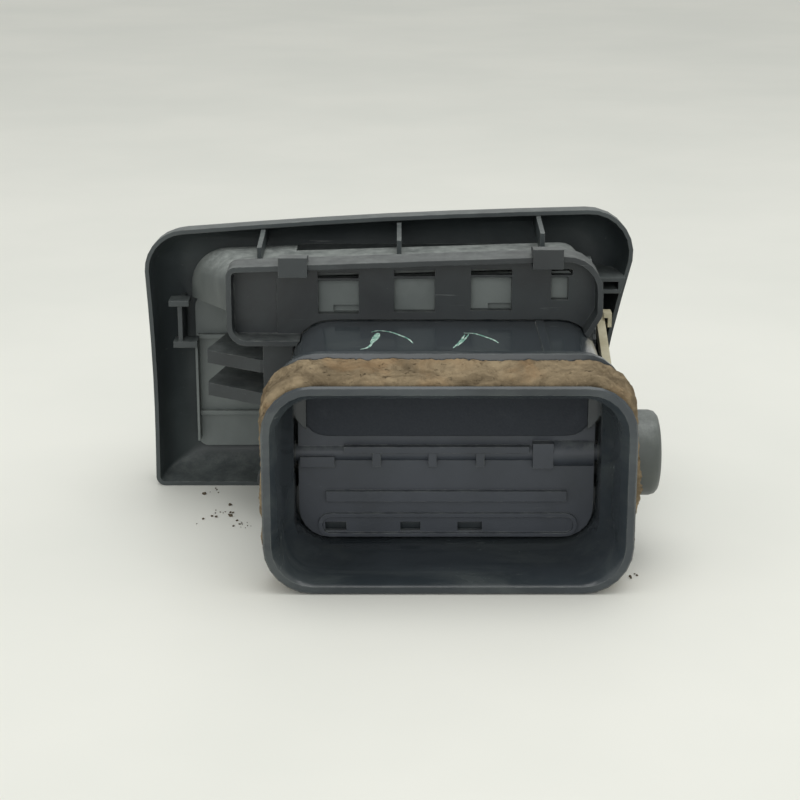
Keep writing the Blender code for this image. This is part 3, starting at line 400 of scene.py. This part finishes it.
def rounded_loop(low_x, high_x, low_z, high_z, radius, step):
    """Points and outward directions round a rounded rectangle, in millimetres."""
    centres = [
        (high_x - radius, low_z + radius, -90.0),
        (high_x - radius, high_z - radius, 0.0),
        (low_x + radius, high_z - radius, 90.0),
        (low_x + radius, low_z + radius, 180.0),
    ]
    corner_count = round(math.pi / 2 * radius / step)
    counts = [round((high_z - low_z - 2 * radius) / step), round((high_x - low_x - 2 * radius) / step)]
    loop = []
    for i, (x, z, start) in enumerate(centres):
        for k in range(corner_count):
            angle = math.radians(start + 90.0 * k / corner_count)
            out = Vector((math.cos(angle), 0.0, math.sin(angle)))
            loop.append((Vector((x, 0.0, z)) + out * radius, out))
        angle = math.radians(start + 90.0)
        out = Vector((math.cos(angle), 0.0, math.sin(angle)))
        begin = Vector((x, 0.0, z)) + out * radius
        next_x, next_z, _ = centres[(i + 1) % 4]
        end = Vector((next_x, 0.0, next_z)) + out * radius
        for k in range(counts[i % 2]):
            loop.append((begin.lerp(end, k / counts[i % 2]), out))
    return loop


def fractal(point, size, octaves):
    """Noise from -1 to 1 with features of that size in millimetres."""
    return noise.fractal(point / size, 0.6, 2.1, octaves, noise_basis="PERLIN_ORIGINAL")


def foam_swell(point):
    """How far the torn foam stands out of its plain outline, in millimetres."""
    lumps = 0.55 * fractal(point, 9.0, 3)
    crumbs = 0.32 * fractal(point + Vector((31.0, 7.0, 3.0)), 2.2, 4)
    split = abs(fractal(point + Vector((5.0, 60.0, 9.0)), 6.5, 4))
    crevice = -0.9 * max(0.0, 1.0 - split / 0.055)
    return lumps + crumbs + crevice - FOAM_SHRINK


def make_foam_gasket():
    """Aged foam strip wrapped round the duct behind its mouth, torn and crumbling on its outer side."""
    low, high = (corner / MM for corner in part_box("foam_seal"))
    depth = high.y - low.y
    front = rounded_loop(low.x, high.x, low.z, high.z - FOAM_FRONT_DROP, FOAM_RADIUS, FOAM_STEP)
    count = len(front)
    back = rounded_loop(low.x, high.x, low.z, high.z, FOAM_RADIUS, FOAM_STEP)
    back = [back[round(i * len(back) / count) % len(back)] for i in range(count)]
    inner_front = inner_loop(front, FOAM_FRONT)
    inner_back = inner_loop(back, FOAM_BACK)
    bm = bmesh.new()
    rows = []
    for k in range(FOAM_ACROSS + 1):
        share = k / FOAM_ACROSS
        rounding = 1.0 - abs(2.0 * share - 1.0) ** 6
        row = []
        for (a, out), (b, _) in zip(front, back):
            point = a.lerp(b, share)
            point.y = low.y + depth * (0.02 + 0.96 * share)
            torn = 1.1 * math.exp(-(((point.z - FOAM_TORN_Z) / 9.0) ** 2)) * max(0.0, out.x) ** 4
            swell = foam_swell(point) + torn * (1.0 + 0.8 * fractal(point, 3.0, 3)) - 0.9 * (1.0 - rounding)
            point = point + out * swell
            wander = fractal(point + Vector((0.0, 90.0, 0.0)), 2.5, 3)
            point.y += 0.35 * wander * (1.0 - abs(2.0 * share - 1.0))
            point.z = max(point.z, 0.05)
            row.append(bm.verts.new(point * MM))
        rows.append(row)
    for loop, y in ((inner_back, high.y), (inner_front, low.y)):
        rows.append([bm.verts.new(Vector((p.x, y, p.z)) * MM) for p in loop])
    rows.append(rows[0])
    for first, second in zip(rows, rows[1:]):
        for i in range(count):
            j = (i + 1) % count
            bm.faces.new((first[i], first[j], second[j], second[i]))
    gasket = new_piece("foam_gasket", mesh_from("foam_gasket", bm), aged_foam("aged_foam"))
    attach(gasket, "housing")
    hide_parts("foam_seal")
    return gasket


def inner_loop(outer, depths):
    """The foam's inner outline: the outer one moved in by the depth of each side."""
    sides, bottom, top = depths
    moved = []
    for point, out in outer:
        upright = top if out.z > 0 else bottom
        moved.append(Vector((point.x - out.x * sides, 0.0, point.z - out.z * upright)))
    return moved


def make_pad(node):
    """Soft pad in the place of a plain one, with eased edges and a slightly uneven face."""
    source = NODES[node]
    mesh = source.data.copy()
    mesh.materials.clear()
    pad = new_piece(node.replace("seal", "pad"), mesh, soft_pad(node + "_foam"))
    weld = pad.modifiers.new("weld", "WELD")
    weld.merge_threshold = WELD_DISTANCE
    remesh = pad.modifiers.new("remesh", "REMESH")
    remesh.mode = "VOXEL"
    remesh.voxel_size = PAD_VOXEL * MM
    ease = pad.modifiers.new("ease", "SMOOTH")
    ease.iterations = 3
    evaluated = pad.evaluated_get(bpy.context.evaluated_depsgraph_get())
    made = bpy.data.meshes.new_from_object(evaluated)
    pad.modifiers.clear()
    pad.data = made
    for vertex in made.vertices:
        place = vertex.co / MM
        vertex.co.y += 0.10 * MM * (fractal(place, 7.0, 3) + 0.5 * fractal(place, 1.6, 2))
    made.shade_smooth()
    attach(pad, "damper")
    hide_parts(node)
    return pad


def smooth_path(points, per_span=10):
    """Catmull-Rom curve through the points."""
    places = [Vector(p) for p in points]
    padded = [places[0] * 2 - places[1], *places, places[-1] * 2 - places[-2]]
    path = []
    for a, b, c, d in zip(padded, padded[1:], padded[2:], padded[3:]):
        for k in range(per_span):
            t = k / per_span
            steady = 2 * b + (c - a) * t
            bend = (2 * a - 5 * b + 4 * c - d) * t**2 + (3 * b - a - 3 * c + d) * t**3
            path.append((steady + bend) / 2)
    return path + [places[-1]]


def make_chalk_mark(name, width, points, height, finish):
    """A thin crayon ribbon of uneven width, tapering to both ends."""
    path = smooth_path(points)
    bm = bmesh.new()
    rails = []
    for i, place in enumerate(path):
        ahead = path[min(i + 1, len(path) - 1)] - path[max(i - 1, 0)]
        across = Vector((-ahead.y, ahead.x)).normalized()
        taper = math.sin(math.pi * (0.06 + 0.88 * i / (len(path) - 1))) ** 0.6
        ragged = 1.0 + 0.35 * noise.noise(Vector((place.x * 2.1, place.y * 2.1, width)))
        half = 0.5 * width * taper * ragged
        rail = []
        for share in (-1.0, -0.4, 0.4, 1.0):
            spot = place + across * half * share
            lift = CHALK_LIFT * (1.0 - 0.6 * abs(share))
            rail.append(bm.verts.new(Vector((spot.x, spot.y, height + lift)) * MM))
        rails.append(rail)
    for first, second in zip(rails, rails[1:]):
        for i in range(3):
            bm.faces.new((first[i], first[i + 1], second[i + 1], second[i]))
    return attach(new_piece(name, mesh_from(name, bm), finish), "housing")


def make_chalk_marks():
    """Crayon strokes on the flat top of the duct, which lies a little below the top of its seal ridge."""
    finish = chalk("chalk")
    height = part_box("air_duct")[1].z / MM - RIDGE_HEIGHT
    for name, (width, points) in CHALK_MARKS.items():
        make_chalk_mark(name, width, points, height, finish)


def make_table():
    """Pale table top with crumbs of old foam on it."""
    half = TABLE_SIZE / 2
    bm = bmesh.new()
    bmesh.ops.create_grid(bm, x_segments=8, y_segments=8, size=half)
    top = new_piece("table_top", mesh_from("table_top", bm), table_top("table_top"))
    top.location.z = -TABLE_DROP
    dice = random.Random(11)
    bm = bmesh.new()
    for x, y, spread, count in CRUMB_HEAPS:
        for _ in range(count):
            size = dice.uniform(0.12, 0.42) * (1.6 if dice.random() > 0.85 else 1.0)
            centre = Vector((dice.gauss(x, spread / 2), dice.gauss(y, spread / 2), size * 0.5))
            lump = bmesh.ops.create_icosphere(bm, subdivisions=2, radius=size)
            for vertex in lump["verts"]:
                vertex.co *= 1.0 + 0.5 * noise.noise((vertex.co + centre) * 1.9)
                vertex.co.z *= 0.7
                vertex.co = (vertex.co + centre) * MM
    crumbs = new_piece("table_crumbs", mesh_from("table_crumbs", bm), dark_crumb("crumb"))


def make_light():
    world = bpy.data.worlds.new("studio")
    bpy.context.scene.world = world
    world.use_nodes = True
    background = world.node_tree.nodes["Background"]
    background.inputs["Color"].default_value = (*WORLD_COLOUR, 1.0)
    background.inputs["Strength"].default_value = WORLD_STRENGTH
    for name, (place, target, size, power) in LAMPS.items():
        data = bpy.data.lights.new(name, "AREA")
        data.shape = "DISK"
        data.size = size
        data.energy = power
        lamp = bpy.data.objects.new(name, data)
        lamp.location = place
        lamp.rotation_euler = (Vector(target) - Vector(place)).to_track_quat("-Z", "Y").to_euler()
        bpy.context.scene.collection.objects.link(lamp)


def make_camera():
    data = bpy.data.cameras.new("camera")
    data.lens = CAMERA_LENS
    data.sensor_width = 36.0
    camera = bpy.data.objects.new("camera", data)
    camera.location = CAMERA_PLACE
    camera.rotation_euler = [math.radians(angle) for angle in CAMERA_TURN]
    bpy.context.scene.collection.objects.link(camera)
    bpy.context.scene.camera = camera
    bpy.context.scene.view_settings.view_transform = "Standard"


dress_cad_nodes()
make_foam_gasket()
for seal in ("damper_seal_upper", "damper_seal_lower"):
    make_pad(seal)
make_chalk_marks()
make_table()
make_light()
make_camera()
